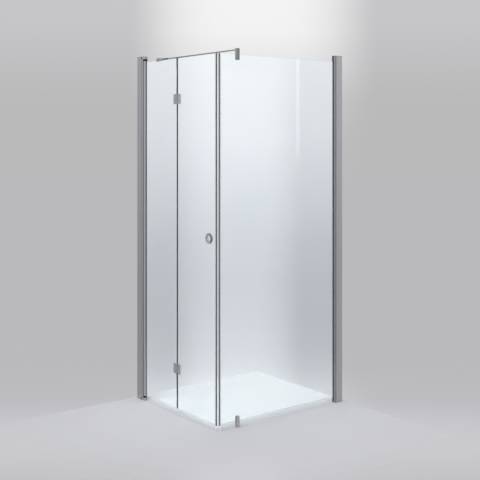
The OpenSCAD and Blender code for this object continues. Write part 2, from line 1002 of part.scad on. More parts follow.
module door_magnet_strip() {
    color("#5a5e61")
        along_door()
            upright(glass_lift, glass_top)
                translate([door_end + magnet_inset, door_mid - magnet_thick / 2])
                    square([magnet_width, magnet_thick]);
}

// Magnet seal on the edge of the fixed glass, with the lip that the door's end meets
module panel_magnet_seal() {
    color("#e6edf0")
        from_corner()
            upright(glass_lift, glass_top)
                difference() {
                    union() {
                        translate([-corner_lip, 0])
                            square([corner_lip, pocket_start]);
                        translate([-glass_thick, pocket_start - past])
                            square([glass_thick, pocket_width + past]);
                        translate([-glass_thick - seal_flange, panel_edge - seal_root])
                            square([glass_thick + 2 * seal_flange, seal_grip + seal_root]);
                    }
                    translate([-glass_thick, panel_edge])
                        square([glass_thick, seal_grip + past]);
                    translate([panel_mid - magnet_thick / 2, pocket_start + magnet_inset])
                        square([magnet_thick, magnet_width]);
                }
}

module panel_magnet_strip() {
    color("#6c7073")
        from_corner()
            upright(glass_lift, glass_top)
                translate([panel_mid - magnet_thick / 2, pocket_start + magnet_inset])
                    square([magnet_thick, magnet_width]);
}

// Clear block that closes the corner between the threshold and the panel's bottom seal
module corner_block() {
    color("#dfe6ea")
        from_corner()
            box([-corner_lip, -seal_flange, 0],
                [seal_flange, corner_block_length, glass_lift - joint_gap]);
}

// Threshold with two sloped sides, glued to the floor under the door
module door_threshold() {
    foot = threshold_width / 2;
    crown = threshold_top / 2;
    color("#dfe6ea")
        run_along_door(corner_lip + joint_gap, pivot_t - bracket_width / 2 - joint_gap)
            translate([door_mid, 0])
                polygon([[-foot, 0], [foot, 0], [foot, threshold_edge], [crown, threshold_height],
                         [-crown, threshold_height], [-foot, threshold_edge]]);
}

module fixed_glass() {
    color("#cfe3e6", 0.35)
        from_corner()
            difference() {
                box([-glass_thick, panel_edge, glass_lift], [0, fixed_glass_end, glass_top]);
                for (z = [floor_screw_z, bar_screw_z])
                    rod_x(clamp_u, z, -glass_thick - past, past, glass_hole_r);
            }
}

// Stretches of the panel's bottom seal on both sides of the floor clamp
bottom_stretches = [
    [corner_block_length + joint_gap, clamp_low_u - joint_gap],
    [clamp_high_u + joint_gap, adjust_face - bead_width - joint_gap]
];

module panel_bottom_seal() {
    color("#e6edf0")
        from_corner()
            for (stretch = bottom_stretches)
                translate([0, stretch[0], 0])
                    rotate([90, 0, 180])
                        linear_extrude(height = stretch[1] - stretch[0])
                            difference() {
                                translate([-seal_flange, 0])
                                    square([glass_thick + 2 * seal_flange, drip_top]);
                                translate([0, glass_lift])
                                    square([glass_thick, seal_grip + past]);
                                translate([seal_flange, seal_flange])
                                    square([glass_thick - 2 * seal_flange,
                                            glass_lift - 2 * seal_flange]);
                            }
}

// Half widths of the adjusting profile's glass pocket and nose, and where the nose ends
pocket_half = glass_thick / 2 + gasket_thick;
nose_half = pocket_half + nose_wall;
shoulder = nose_length - panel_reach;

// The profile slides in the wall profile, and its narrow nose leads the glass into the pocket
module adjusting_profile() {
    chamber_low = pocket_half + nest_wall;
    chamber_high = nest_half - nest_wall;
    chamber_start = shoulder + nest_wall;
    chamber_end = pocket_depth - panel_reach;
    hollow_start = chamber_end + nest_wall;
    color("#b4b8bb")
        at_panel_wall()
            difference() {
                upright(0, profile_top)
                    difference() {
                        union() {
                            translate([shoulder, -nest_half])
                                square([nest_hidden - shoulder, 2 * nest_half]);
                            translate([-panel_reach, -nose_half])
                                square([nose_length + past, 2 * nose_half]);
                        }
                        translate([-panel_reach - past, -pocket_half])
                            square([pocket_depth + past, 2 * pocket_half]);
                        translate([hollow_start, -chamber_high])
                            square([nest_hidden - hollow_start + past, 2 * chamber_high]);
                        for (side = [-1, 1])
                            translate([chamber_start, min(side * chamber_low, side * chamber_high)])
                                square([chamber_end - chamber_start, chamber_high - chamber_low]);
                    }
                side_screw_holes(panel_screw_zs);
            }
}

module glazing_gasket() {
    color("#26292b")
        at_panel_wall()
            upright(glass_lift, glass_top)
                difference() {
                    union() {
                        translate([-panel_reach, -pocket_half])
                            square([pocket_depth, 2 * pocket_half]);
                        translate([-panel_reach - bead_width, -glass_thick / 2 - bead_height])
                            square([bead_width, glass_thick + 2 * bead_height]);
                    }
                    translate([-panel_reach - bead_width - past, -glass_thick / 2])
                        square([pocket_depth - gasket_thick + bead_width + past, glass_thick]);
                }
}

// Flat outline of a clamp in u and z, with round corners
module clamp_outline(low, high) {
    round_rect([clamp_low_u, low], [clamp_high_u, high], clamp_round);
}

// Stands a flat outline drawn in u and z upright, from x0 to x1
module slab_x(x0, x1) {
    translate([x0, 0, 0])
        rotate([90, 0, 90])
            linear_extrude(height = x1 - x0)
                children();
}

// Countersunk clamp screw along X, with its head on the inner side
module clamp_screw(z) {
    translate([clamp_in, clamp_u, z])
        rotate([0, 90, 0]) {
            cylinder(h = clamp_head_h, r1 = clamp_head_d / 2, r2 = clamp_screw_d / 2);
            cylinder(h = clamp_out - clamp_in - blind_skin, r = clamp_screw_d / 2);
        }
}

module clamp_screw_hole(z) {
    grow = screw_clear;
    translate([clamp_in, clamp_u, z])
        rotate([0, 90, 0]) {
            cylinder(h = clamp_head_h + grow, r1 = clamp_head_d / 2 + grow, r2 = clamp_screw_d / 2);
            translate([0, 0, -past])
                cylinder(h = past + grow, r = clamp_head_d / 2 + grow);
            cylinder(h = clamp_out - clamp_in - blind_skin + grow, r = clamp_screw_d / 2 + grow);
        }
}

module floor_clamp_body() {
    color("#a5a9ac")
        from_corner()
            difference() {
                union() {
                    slab_x(clamp_pad, clamp_out) {
                        clamp_outline(0, floor_clamp_height);
                        translate([clamp_low_u, 0])
                            square([clamp_width, clamp_base]);
                    }
                    box([clamp_in, clamp_low_u, 0], [clamp_out, clamp_high_u, clamp_base]);
                }
                translate([panel_mid, clamp_u, -past])
                    cylinder(h = clamp_base + 2 * past, r = floor_hole_r);
                translate([panel_mid, clamp_u, clamp_base - floor_head_h])
                    cylinder(h = floor_head_h + past, r = floor_head_r);
                clamp_screw_hole(floor_screw_z);
            }
}

module floor_clamp_plate() {
    color("#a5a9ac")
        from_corner()
            difference() {
                slab_x(clamp_in, clamp_in + clamp_plate)
                    clamp_outline(clamp_base + joint_gap, floor_clamp_height);
                clamp_screw_hole(floor_screw_z);
            }
}

module bar_clamp_body() {
    color("#a5a9ac")
        from_corner()
            difference() {
                union() {
                    slab_x(clamp_pad, clamp_out)
                        clamp_outline(bar_clamp_low, bar_clamp_top);
                    slab_x(clamp_in, clamp_out) {
                        clamp_outline(glass_top + edge_gap, bar_clamp_top);
                        translate([clamp_low_u, glass_top + edge_gap])
                            square([clamp_width, clamp_round]);
                    }
                }
                rod_x(clamp_u, bar_z, clamp_in - past, bar_in, bar_r + run_clear);
                translate([clamp_in + bar_seat / 2, clamp_u, bar_z])
                    cylinder(h = bar_cover + past, r = set_screw_d / 2 + run_clear);
                clamp_screw_hole(bar_screw_z);
            }
}

module bar_clamp_plate() {
    color("#a5a9ac")
        from_corner()
            difference() {
                slab_x(clamp_in, clamp_in + clamp_plate)
                    clamp_outline(bar_clamp_low, glass_top + edge_gap - joint_gap);
                clamp_screw_hole(bar_screw_z);
            }
}

// Rubber pads on both faces of the glass in each clamp, and the block under the glass
module clamp_pads() {
    color("#2b2d2f")
        from_corner() {
            difference() {
                for (x = [0, -glass_thick - clamp_pad])
                    slab_x(x, x + clamp_pad) {
                        clamp_outline(glass_lift, floor_clamp_height);
                        clamp_outline(bar_clamp_low, glass_top);
                    }
                for (z = [floor_screw_z, bar_screw_z])
                    rod_x(clamp_u, z, clamp_in, clamp_out, clamp_screw_d / 2 + screw_clear);
            }
            box([-glass_thick, clamp_low_u, clamp_base], [0, clamp_high_u, glass_lift]);
        }
}

module clamp_screws() {
    color("#d0d3d5")
        from_corner()
            for (z = [floor_screw_z, bar_screw_z])
                clamp_screw(z);
}

module stabiliser_bar() {
    color("#bfc3c6")
        from_corner()
            rod_x(clamp_u, bar_z, -bar_end_t, bar_in - joint_gap, bar_r);
}

// Tapered socket on the wall, with a blind hole for the wall stud
module bar_wall_socket() {
    color("#a5a9ac")
        from_corner()
            difference() {
                translate([-door_side, clamp_u, bar_z])
                    rotate([0, 90, 0]) {
                        cylinder(h = socket_flange, r = socket_d / 2);
                        translate([0, 0, socket_flange])
                            cylinder(h = socket_length - socket_flange,
                                     r1 = taper_start_r, r2 = socket_nose_d / 2);
                    }
                rod_x(clamp_u, bar_z, -bar_end_t - joint_gap, past - socket_nose, sleeve_r + run_clear);
                rod_x(clamp_u, bar_z, -door_side - past, stud_hole_depth - door_side, stud_hole_r);
                translate([-set_screw_t, clamp_u, bar_z - socket_d / 2])
                    cylinder(h = socket_d / 2, r = set_screw_d / 2 + run_clear);
            }
}

module bar_sleeve() {
    color("#4a4e51")
        from_corner()
            difference() {
                rod_x(clamp_u, bar_z, -bar_end_t, sleeve_reach - socket_nose, sleeve_r);
                rod_x(clamp_u, bar_z, -bar_end_t - past, sleeve_reach - socket_nose + past,
                      bar_r + run_clear);
            }
}

// One set screw above the bar in the clamp, one below the sleeve in the socket
module bar_set_screws() {
    socket_screw = set_screw_r - sleeve_r - run_clear - set_sink;
    color("#55595c")
        from_corner() {
            translate([clamp_in + bar_seat / 2, clamp_u, bar_z + bar_r + run_clear])
                cylinder(h = bar_cover - bar_r - run_clear - set_sink, r = set_screw_d / 2);
            translate([-set_screw_t, clamp_u, bar_z - sleeve_r - run_clear - socket_screw])
                cylinder(h = socket_screw, r = set_screw_d / 2);
        }
}

// Flat section of a ring with rounded edges, from a bore to the grip's rim
module ring_section(bore_r, thick) {
    width = grip_r - bore_r;
    translate([bore_r, 0])
        square([width, thick - grip_round]);
    translate([bore_r + grip_round, 0])
        square([width - 2 * grip_round, thick]);
    for (r = [bore_r + grip_round, grip_r - grip_round])
        translate([r, thick - grip_round])
            circle(r = grip_round);
}

module at_grip() {
    along_door()
        translate([grip_t, 0, grip_z])
            children();
}

// The outer ring has a barrel that passes the glass and ends inside the inner ring
module outer_grip_ring() {
    barrel = glass_thick + 2 * grip_gasket + grip_ring - barrel_sink;
    color("#b4b8bb")
        at_grip()
            translate([0, -grip_gasket, 0])
                rotate([90, 0, 0])
                    rotate_extrude() {
                        ring_section(grip_bore_r, grip_flange);
                        translate([grip_bore_r, -barrel])
                            square([barrel_wall, barrel + grip_flange - grip_round]);
                    }
}

module inner_grip_ring() {
    color("#b4b8bb")
        at_grip()
            translate([0, glass_thick + grip_gasket, 0])
                rotate([-90, 0, 0])
                    rotate_extrude()
                        ring_section(barrel_r + run_clear, grip_ring);
}

// A flat ring round the grip's axis, from y0 to y1
module ring_y(y0, y1, bore_r, outer_r) {
    difference() {
        rod_y(0, 0, y0, y1, outer_r);
        rod_y(0, 0, y0 - past, y1 + past, bore_r);
    }
}

module grip_liner() {
    color("#e3e8ea")
        at_grip()
            ring_y(0, glass_thick, barrel_r + run_clear, grip_hole_r - run_clear);
}

module grip_gaskets() {
    color("#2b2d2f")
        at_grip()
            for (y = [-grip_gasket, glass_thick])
                ring_y(y, y + grip_gasket, barrel_r + run_clear, grip_r - gasket_back);
}

door_wall_profile();
hinge_post();
door_profile_cap();
profile_screws();
upper_pivot_bracket();
lower_pivot_bracket();
upper_pivot_pin();
lower_pivot_pin();
post_wiper();
panel_wall_profile();
adjusting_profile();
panel_profile_cap();
fixed_glass();
glazing_gasket();
panel_magnet_seal();
panel_magnet_strip();
panel_bottom_seal();
corner_block();
door_threshold();
floor_clamp_body();
floor_clamp_plate();
clamp_pads();
clamp_screws();
bar_clamp_body();
bar_clamp_plate();
bar_set_screws();
stabiliser_bar();
bar_wall_socket();
bar_sleeve();
pivot_tube();
upper_pivot_bush();
lower_pivot_bush();
tube_glazing_strip();
wall_leaf_glass();
wall_leaf_drip_seal();
fold_seal();
upper_hinge_wall_plate();
lower_hinge_wall_plate();
wall_leaf_gaskets();
wall_leaf_sleeves();
wall_leaf_screws();
upper_hinge_pin();
lower_hinge_pin();
grip_leaf_glass();
grip_leaf_drip_seal();
upper_hinge_grip_plate();
lower_hinge_grip_plate();
grip_leaf_gaskets();
grip_leaf_sleeves();
grip_leaf_screws();
door_magnet_seal();
door_magnet_strip();
outer_grip_ring();
inner_grip_ring();
grip_liner();
grip_gaskets();
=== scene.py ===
# %% [markdown]
# # A corner shower enclosure with a folding door
# The enclosure is glass, polished metal and clear plastic. Such an object has hardly any colour of
# its own: what the eye reads is the light on its edges and what its metal mirrors. So the studio
# comes first, then the finishes, and then the pieces whose edges and turned shapes catch that
# light.

import json
from math import atan2, cos, pi, radians, sin

import bmesh
import bpy
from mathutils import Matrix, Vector


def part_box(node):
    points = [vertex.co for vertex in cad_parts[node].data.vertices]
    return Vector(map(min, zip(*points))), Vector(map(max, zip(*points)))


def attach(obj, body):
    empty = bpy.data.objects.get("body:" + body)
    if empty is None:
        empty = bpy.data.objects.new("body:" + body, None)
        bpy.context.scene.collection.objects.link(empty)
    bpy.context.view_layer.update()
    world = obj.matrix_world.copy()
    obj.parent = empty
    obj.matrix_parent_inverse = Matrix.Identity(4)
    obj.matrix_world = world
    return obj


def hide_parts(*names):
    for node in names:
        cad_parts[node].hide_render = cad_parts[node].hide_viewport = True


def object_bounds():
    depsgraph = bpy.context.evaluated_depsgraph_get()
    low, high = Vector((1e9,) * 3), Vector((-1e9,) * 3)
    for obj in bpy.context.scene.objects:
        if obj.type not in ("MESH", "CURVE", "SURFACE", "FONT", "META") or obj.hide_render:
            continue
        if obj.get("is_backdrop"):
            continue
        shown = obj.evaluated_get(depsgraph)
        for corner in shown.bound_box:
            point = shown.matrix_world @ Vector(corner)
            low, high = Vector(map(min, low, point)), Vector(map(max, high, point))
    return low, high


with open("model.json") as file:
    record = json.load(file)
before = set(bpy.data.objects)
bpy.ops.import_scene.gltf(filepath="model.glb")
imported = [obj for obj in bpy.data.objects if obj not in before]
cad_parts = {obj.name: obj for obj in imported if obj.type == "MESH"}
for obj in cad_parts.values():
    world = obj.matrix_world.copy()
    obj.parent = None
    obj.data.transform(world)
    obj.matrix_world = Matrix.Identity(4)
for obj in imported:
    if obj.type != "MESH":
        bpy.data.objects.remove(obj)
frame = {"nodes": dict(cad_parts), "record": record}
cad_low, cad_high = (list(corner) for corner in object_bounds())
CORNER = Vector((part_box("fixed_glass")[1].x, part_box("grip_leaf_glass")[0].y, 0))
print("outer glass corner at", tuple(round(value, 4) for value in CORNER))

# %% [markdown]
# ## The camera
# A level camera keeps upright edges upright, as a photographer of interiors wants. It stands at
# eye height and sees the enclosure's outer corner. Tilting it down would make the profiles lean,
# so the picture is moved on the sensor with a shift instead.

# %% Camera
# Metres from the glass corner, a heading in degrees, and the sensor and lens in mm.
CAMERA_FROM_CORNER = Vector((3.660, -2.7095, 1.518))
CAMERA_HEADING = 52.02
SENSOR_WIDTH = 36.0
LENS = 65.87
HORIZON_LIFT = 0.2098

scene = bpy.context.scene
scene.view_settings.view_transform = "Standard"
camera_data = bpy.data.cameras.new("studio_camera")
camera_data.sensor_width = SENSOR_WIDTH
camera_data.lens = LENS
camera_data.shift_y = -HORIZON_LIFT
camera = bpy.data.objects.new("studio_camera", camera_data)
camera.location = CORNER + CAMERA_FROM_CORNER
camera.rotation_euler = (radians(90), 0, radians(CAMERA_HEADING))
scene.collection.objects.link(camera)
scene.camera = camera
print("camera at", tuple(round(value, 3) for value in camera.location))

# %% [markdown]
# ## Helpers for every material
# Colours are written as sRGB hex values, the way a paint chart gives them, and turned to linear
# light once. A node tree is built by one small function: it adds a node, sets its options and its
# socket values, and links what comes in.

# %% Colour and node helpers
def linear(hex_colour):
    """An sRGB hex colour as linear red, green, blue and a full alpha."""
    parts = [int(hex_colour[at:at + 2], 16) / 255 for at in (0, 2, 4)]
    return [c / 12.92 if c <= 0.04045 else ((c + 0.055) / 1.055) ** 2.4 for c in parts] + [1.0]


def add_node(tree, kind, values=None, links=None, **options):
    """A node with its options, the values of its sockets, and what is linked into it."""
    node = tree.nodes.new(kind)
    for name, option in options.items():
        setattr(node, name, option)
    for socket, value in (values or {}).items():
        node.inputs[socket].default_value = value
    for socket, source in (links or {}).items():
        tree.links.new(source, node.inputs[socket])
    return node


print("mid grey BCBCBC is", round(linear("BCBCBC")[0], 3), "linear")

# %% [markdown]
# ## The backdrop
# Glass and metal show what stands around them, so the backdrop matters as much as the lamps. It
# could be a curved sheet, which turns its back on a camera behind it. A world that is graded with
# height looks the same from every side. Clear glass is hard to see against an even grey, so a soft
# column of light stands on the backdrop behind the enclosure. It is written as two colours for
# each height: one for the open backdrop and one for the middle of the column. Rays that come
# through the glass get a pair of their own, with more contrast, as if the light stood close behind
# the panes. In a slim lower part of the column the camera sees these colours too, so that the gap
# between the panes is as light as they are.

# %% World: the backdrop's colours
BACKDROP = [(-90, "C4C4C8", "C6C6CA"), (-21, "C0C0C3", "C6C6CA"), (-18.9, "C9C9CC", "D3D3D8"),
            (-17.5, "C8C8CC", "D4D4D8"), (-16.3, "BEBEC2", "CDCDD1"), (-14.5, "BABABC", "BABABC"),
            (-4, "B9B9BB", "B9B9BB"), (0, "B9B9BA", "C0C0C1"), (2.5, "BABABB", "CDCDCE"),
            (5, "C0BFC1", "E8E7E8"), (7, "C5C4C6", "F3F2F3"), (12, "CAC9CB", "F6F5F6"),
            (90, "CECDCF", "F6F5F6")]
THROUGH_GLASS = [(-90, "C4C4C8", "CCCCD0"), (-18, "C8C8CB", "D6D6DA"),
                 (-15.8, "DADBDE", "FBFCFE"), (-14.7, "C6C8CB", "E6E8EB"),
                 (-13.5, "BDBFC2", "DEE0E3"), (-11.6, "B7B9BD", "D8DADE"),
                 (-9, "B9BBBF", "D5D7DB"), (-6.5, "C1C3C7", "DADCDF"), (-4, "CED0D3", "E4E6E9"),
                 (0, "E0E1E4", "F7F8FA"), (5, "ECEDEF", "FEFFFF"), (90, "ECEDEF", "FEFFFF")]
print("backdrop levels:", len(BACKDROP), "through glass:", len(THROUGH_GLASS))


# %% World: a colour for each height
def height_of(elevation):
    """The Z of a direction of length 1 at that elevation in degrees."""
    return sin(radians(elevation))


def level_ramp(tree, share, levels):
    """A colour for each elevation in degrees."""
    ramp = add_node(tree, "ShaderNodeValToRGB", links={"Fac": share})
    stops = ramp.color_ramp.elements
    while len(stops) < len(levels):
        stops.new(1.0)
    for stop, (elevation, colour) in zip(stops, levels):
        stop.position = (height_of(elevation) + 1) / 2
        stop.color = linear(colour)
    return ramp.outputs["Color"]


# %% World: soft steps and zones
def soft_step(tree, value, start, end, low=0.0, high=1.0):
    """The low number up to the start, the high one from the end on, and a soft change between."""
    return add_node(tree, "ShaderNodeMapRange",
                    {"From Min": start, "From Max": end, "To Min": low, "To Max": high},
                    {"Value": value}, interpolation_type="SMOOTHSTEP").outputs[0]


def zone(tree, direction, heading, width):
    """1 in the middle of a zone round a compass heading, and softly down to 0 at its width."""
    level = add_node(tree, "ShaderNodeVectorMath", {1: (1, 1, 0)}, {0: direction},
                     operation="MULTIPLY")
    level = add_node(tree, "ShaderNodeVectorMath", links={0: level.outputs[0]},
                     operation="NORMALIZE")
    toward = (cos(radians(heading)), sin(radians(heading)), 0)
    facing = add_node(tree, "ShaderNodeVectorMath", {1: toward}, {0: level.outputs[0]},
                      operation="DOT_PRODUCT")
    return soft_step(tree, facing.outputs["Value"], cos(radians(width)), 1.0)


# %% World: the column of light
# Headings, widths to either side and elevations are in degrees.
COLUMN = {"heading": 141.2, "width": 8.2}
COLUMN_IN_GLASS = {"heading": 142.2, "width": 4.4}
LOW_COLUMN = {"heading": 142.0, "width": 5.4}
LOW_COLUMN_TOP = (2.5, 5.5)
LOW_COLUMN_SHARE = 0.75


def backdrop_with_column(tree, direction, share, levels, column):
    """The open colours of the levels, and the column's colours inside its zone."""
    aside = level_ramp(tree, share, [(elevation, colour) for elevation, colour, _ in levels])
    middle = level_ramp(tree, share, [(elevation, colour) for elevation, _, colour in levels])
    mix = add_node(tree, "ShaderNodeMix", data_type="RGBA",
                   links={0: zone(tree, direction, **column), 6: aside, 7: middle})
    return add_node(tree, "ShaderNodeBackground", links={"Color": mix.outputs[2]}).outputs[0]


def low_column(tree, direction, height):
    """How much of the slim lower column shows, softly down to 0 at its sides and its top."""
    column = zone(tree, direction, **LOW_COLUMN)
    below = soft_step(tree, height, *map(height_of, LOW_COLUMN_TOP), low=LOW_COLUMN_SHARE, high=0.0)
    return add_node(tree, "ShaderNodeMath", links={0: column, 1: below},
                    operation="MULTIPLY").outputs[0]


print("column at heading", COLUMN["heading"], "and", 2 * COLUMN["width"], "degrees wide")

# %% [markdown]
# ## What metal mirrors
# Polished metal turns flat grey under an even sky. Photographers hang white sheets and black flags
# round it, and those draw the light and dark lines along its round parts. Here they are zones of
# the world that only mirrored rays meet, each with its heading, its width and how much brighter or
# darker it is. The first is a very slim strip lamp from the horizon up: it draws a thin upright
# line of light on the fixed pane. The last is a small grey flag, so high that only the clamp at
# the pane's top mirrors it.

# %% World: what metal mirrors
METAL_BACKDROP = [(-90, "C9CACC"), (-14, "BCBDBF"), (-9, "B8B9BB"), (0, "CBCCCD"), (12, "DCDDDE"),
                  (90, "DFE0E0")]
# Heading, width, gain, and the two elevations between which it begins if it has a foot.
SHEETS_AND_FLAGS = [
    (41.75, 0.16, 2.2, (-2, 0)),
    (-75, 42, 0.25, None),
    (-8, 42, -0.4, None),
    (-172, 21, -0.97, None),
    (46, 14, 0.15, None),
    (37.7, 3.5, -0.5, (4.4, 4.6)),
]


def metal_strength(tree, direction, height):
    """How bright the mirrored world is: every zone multiplies it by 1 plus its gain."""
    # A plain 1 to start from.
    total = add_node(tree, "ShaderNodeMath", {0: 1.0, 1: 1.0}, operation="MULTIPLY").outputs[0]
    for heading, width, gain, foot in SHEETS_AND_FLAGS:
        amount = zone(tree, direction, heading, width)
        if foot:
            above = soft_step(tree, height, *map(height_of, foot))
            amount = add_node(tree, "ShaderNodeMath", links={0: amount, 1: above},
                              operation="MULTIPLY").outputs[0]
        factor = add_node(tree, "ShaderNodeMath", {1: gain, 2: 1.0}, {0: amount},
                          operation="MULTIPLY_ADD").outputs[0]
        total = add_node(tree, "ShaderNodeMath", links={0: total, 1: factor},
                         operation="MULTIPLY").outputs[0]
    return total


print("lamps, sheets and flags that metal mirrors:", len(SHEETS_AND_FLAGS))

# %% The whole world
AMBIENT = 0.7


def build_world():
    world = bpy.data.worlds.new("graded_studio")
    scene.world = world
    world.use_nodes = True
    tree = world.node_tree
    tree.nodes.clear()
    direction = add_node(tree, "ShaderNodeTexCoord").outputs["Generated"]
    height = add_node(tree, "ShaderNodeSeparateXYZ", links={"Vector": direction}).outputs["Z"]
    share = add_node(tree, "ShaderNodeMapRange", {"From Min": -1.0}, {"Value": height}).outputs[0]
    ray = add_node(tree, "ShaderNodeLightPath")
    shown = add_node(tree, "ShaderNodeBackground", {"Strength": AMBIENT}).outputs[0]
    in_metal = add_node(tree, "ShaderNodeBackground", links={
        "Color": level_ramp(tree, share, METAL_BACKDROP),
        "Strength": metal_strength(tree, direction, height)}).outputs[0]
    in_glass = backdrop_with_column(tree, direction, share, THROUGH_GLASS, COLUMN_IN_GLASS)
    in_camera = backdrop_with_column(tree, direction, share, BACKDROP, COLUMN)
    in_camera = add_node(tree, "ShaderNodeMixShader", links={
        0: low_column(tree, direction, height), 1: in_camera, 2: in_glass}).outputs[0]
    for kind, seen in (("Is Glossy Ray", in_metal), ("Is Transmission Ray", in_glass),
                       ("Is Camera Ray", in_camera)):
        shown = add_node(tree, "ShaderNodeMixShader",
                         links={0: ray.outputs[kind], 1: shown, 2: seen}).outputs[0]
    add_node(tree, "ShaderNodeOutputWorld", links={"Surface": shown})


build_world()
print("world nodes:", len(scene.world.node_tree.nodes))

# %% [markdown]
# ## Starting a material
# Every finish starts the same way: one shader, and the object's own coordinates in metres. Some
# are seen through in part: the floor's rim, and the glass where a shadow falls through it. They
# could have a shader of their own, but mixing in plain transparency keeps the finish as it is.

# %% Start of a material
def start_material(name, **values):
    """A material with its tree, its shader, and the piece's own coordinates in metres."""
    material = bpy.data.materials.new(name)
    material.use_nodes = True
    tree = material.node_tree
    tree.nodes.clear()
    place = add_node(tree, "ShaderNodeTexCoord").outputs["Object"]
    shader = add_node(tree, "ShaderNodeBsdfPrincipled", values)
    add_node(tree, "ShaderNodeOutputMaterial", links={"Surface": shader.outputs[0]})
    return material, tree, shader, place


def see_through(tree, shader, share, tint):
    """Mixes plain transparency of that tint into a finish, by a share."""
    clear = add_node(tree, "ShaderNodeBsdfTransparent", {"Color": linear(tint)})
    mixed = add_node(tree, "ShaderNodeMixShader", links={
        0: share, 1: shader.outputs[0], 2: clear.outputs[0]})
    output = next(node for node in tree.nodes if node.type == "OUTPUT_MATERIAL")
    tree.links.new(mixed.outputs[0], output.inputs["Surface"])


# %% [markdown]
# ## The floor and the lamp
# The floor is a pale round of matt board under the enclosure, so that profiles and clamps stand on
# something and leave a soft shadow. Its rim fades away, because a hard edge would cut the picture,
# and it ends at the enclosure's two open sides, so that the glass shows only the backdrop there.
# The board is painted nearly white where the enclosure stands, a painted pool of light, so that the
# glass has something to show against. A strip along the two glass sides is painted a tone between
# that and the board outside: painted light that lifts the shade which the seals and the glass cast
# at their foot. One wide, high lamp does for the light: a sun with a large disc gives the same
# light everywhere.

# %% Floor: where it changes
def past_either(tree, place, across_x, across_y):
    """0 before both of two lines and 1 past either, each given as the ends of its soft step."""
    split = add_node(tree, "ShaderNodeSeparateXYZ", links={"Vector": place})
    past_x = soft_step(tree, split.outputs["X"], *across_x)
    past_y = soft_step(tree, split.outputs["Y"], *across_y)
    return add_node(tree, "ShaderNodeMath", links={0: past_x, 1: past_y},
                    operation="MAXIMUM").outputs[0]


def outside(tree, place, setback, soft):
    """0 inside the enclosure and 1 outside, from two lines set back from its glass sides."""
    right, front = cad_high[0] - setback[0], cad_low[1] + setback[1]
    return past_either(tree, place, (right, right + soft), (front, front - soft))


# %% Floor: the board
# Lengths are in metres. The two setbacks are across X and Y, from the enclosure's box.
FLOOR_TONE = "CECED2"
# The pool of light is painted: the board is painted nearly white inside the enclosure.
POOL_OF_LIGHT_TONE = "FBFBFC"
POOL_OF_LIGHT_SETBACK = (0.118, 0.097)
POOL_OF_LIGHT_SOFT = 0.05
# The strip is painted light: paler than the board outside, to lift the shade that the seals and the
# glass cast at their foot.
PAINTED_STRIP_LIGHT_TONE = "DEDEE2"
PAINTED_STRIP_SETBACK = (0.024, 0.024)
PAINTED_STRIP_SOFT = 0.022
FLOOR_FULL = 0.62
FLOOR_END = 1.7
BACK_FADE = 0.05


def floor_board():
    material, tree, shader, place = start_material(
        "matt_white_board_painted_light", **{"Roughness": 0.85, "Specular IOR Level": 0.2})
    # Painted light: the painted pool of light inside, then the painted lighter strip under the
    # seals, then the board's own tone outside.
    inner = add_node(tree, "ShaderNodeMix", {6: linear(POOL_OF_LIGHT_TONE), 7: linear(PAINTED_STRIP_LIGHT_TONE)},
                     {0: outside(tree, place, POOL_OF_LIGHT_SETBACK, POOL_OF_LIGHT_SOFT)}, data_type="RGBA")
    tone = add_node(tree, "ShaderNodeMix", {7: linear(FLOOR_TONE)},
                    {0: outside(tree, place, PAINTED_STRIP_SETBACK, PAINTED_STRIP_SOFT), 6: inner.outputs[2]},
                    data_type="RGBA")
    tree.links.new(tone.outputs[2], shader.inputs["Base Color"])
    far = add_node(tree, "ShaderNodeVectorMath", links={0: place}, operation="LENGTH")
    rim = soft_step(tree, far.outputs["Value"], FLOOR_FULL, FLOOR_END)
    behind = past_either(tree, place, (cad_low[0], cad_low[0] - BACK_FADE),
                         (cad_high[1], cad_high[1] + BACK_FADE))
    fade = add_node(tree, "ShaderNodeMath", links={0: behind, 1: rim}, operation="MAXIMUM")
    see_through(tree, shader, fade.outputs[0], "FFFFFF")
    return material


# %% Floor
FLOOR_SIDES = 96
FLOOR_DROP = 0.0003


def build_floor():
    bm = bmesh.new()
    bmesh.ops.create_circle(bm, cap_ends=True, radius=FLOOR_END, segments=FLOOR_SIDES)
    bmesh.ops.translate(bm, verts=bm.verts, vec=(0, 0, -FLOOR_DROP))
    mesh = bpy.data.meshes.new("floor")
    bm.to_mesh(mesh)
    bm.free()
    mesh.materials.append(floor_board())
    floor = bpy.data.objects.new("floor", mesh)
    scene.collection.objects.link(floor)
    floor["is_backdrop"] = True


build_floor()
print("floor radius", FLOOR_END, "m")

# %% Lamp
LAMP_TILT = 32
LAMP_HEADING = -70
LAMP_STRENGTH = 1.5
LAMP_SIZE = 50

lamp_data = bpy.data.lights.new("wide_lamp", "SUN")
lamp_data.energy = LAMP_STRENGTH
lamp_data.angle = radians(LAMP_SIZE)
lamp = bpy.data.objects.new("wide_lamp", lamp_data)
lamp.rotation_euler = (radians(LAMP_TILT), 0, radians(LAMP_HEADING + 90))
lamp.visible_glossy = False
scene.collection.objects.link(lamp)
print("lamp strength", LAMP_STRENGTH, "from a disc of", LAMP_SIZE, "degrees")

# %% [markdown]
# ## Patterns
# Hardly any surface is one even colour or quite smooth. Patterns read the object's own
# coordinates, so that a scratch has its real length. They are squeezed or stretched with one real
# size for each direction. `two_tone` lets a colour wander between two close tones, and `relief`
# adds what is too small to model.

# %% Patterns at their real size
MM = 0.001
NOISE_RANGE = (0.3, 0.7)


def stretched(tree, place, sizes_mm):
    """Coordinates in which one unit is that many millimetres along X, Y and Z."""
    return add_node(tree, "ShaderNodeMapping", {"Scale": [1 / (size * MM) for size in sizes_mm]},
                    {"Vector": place}).outputs[0]


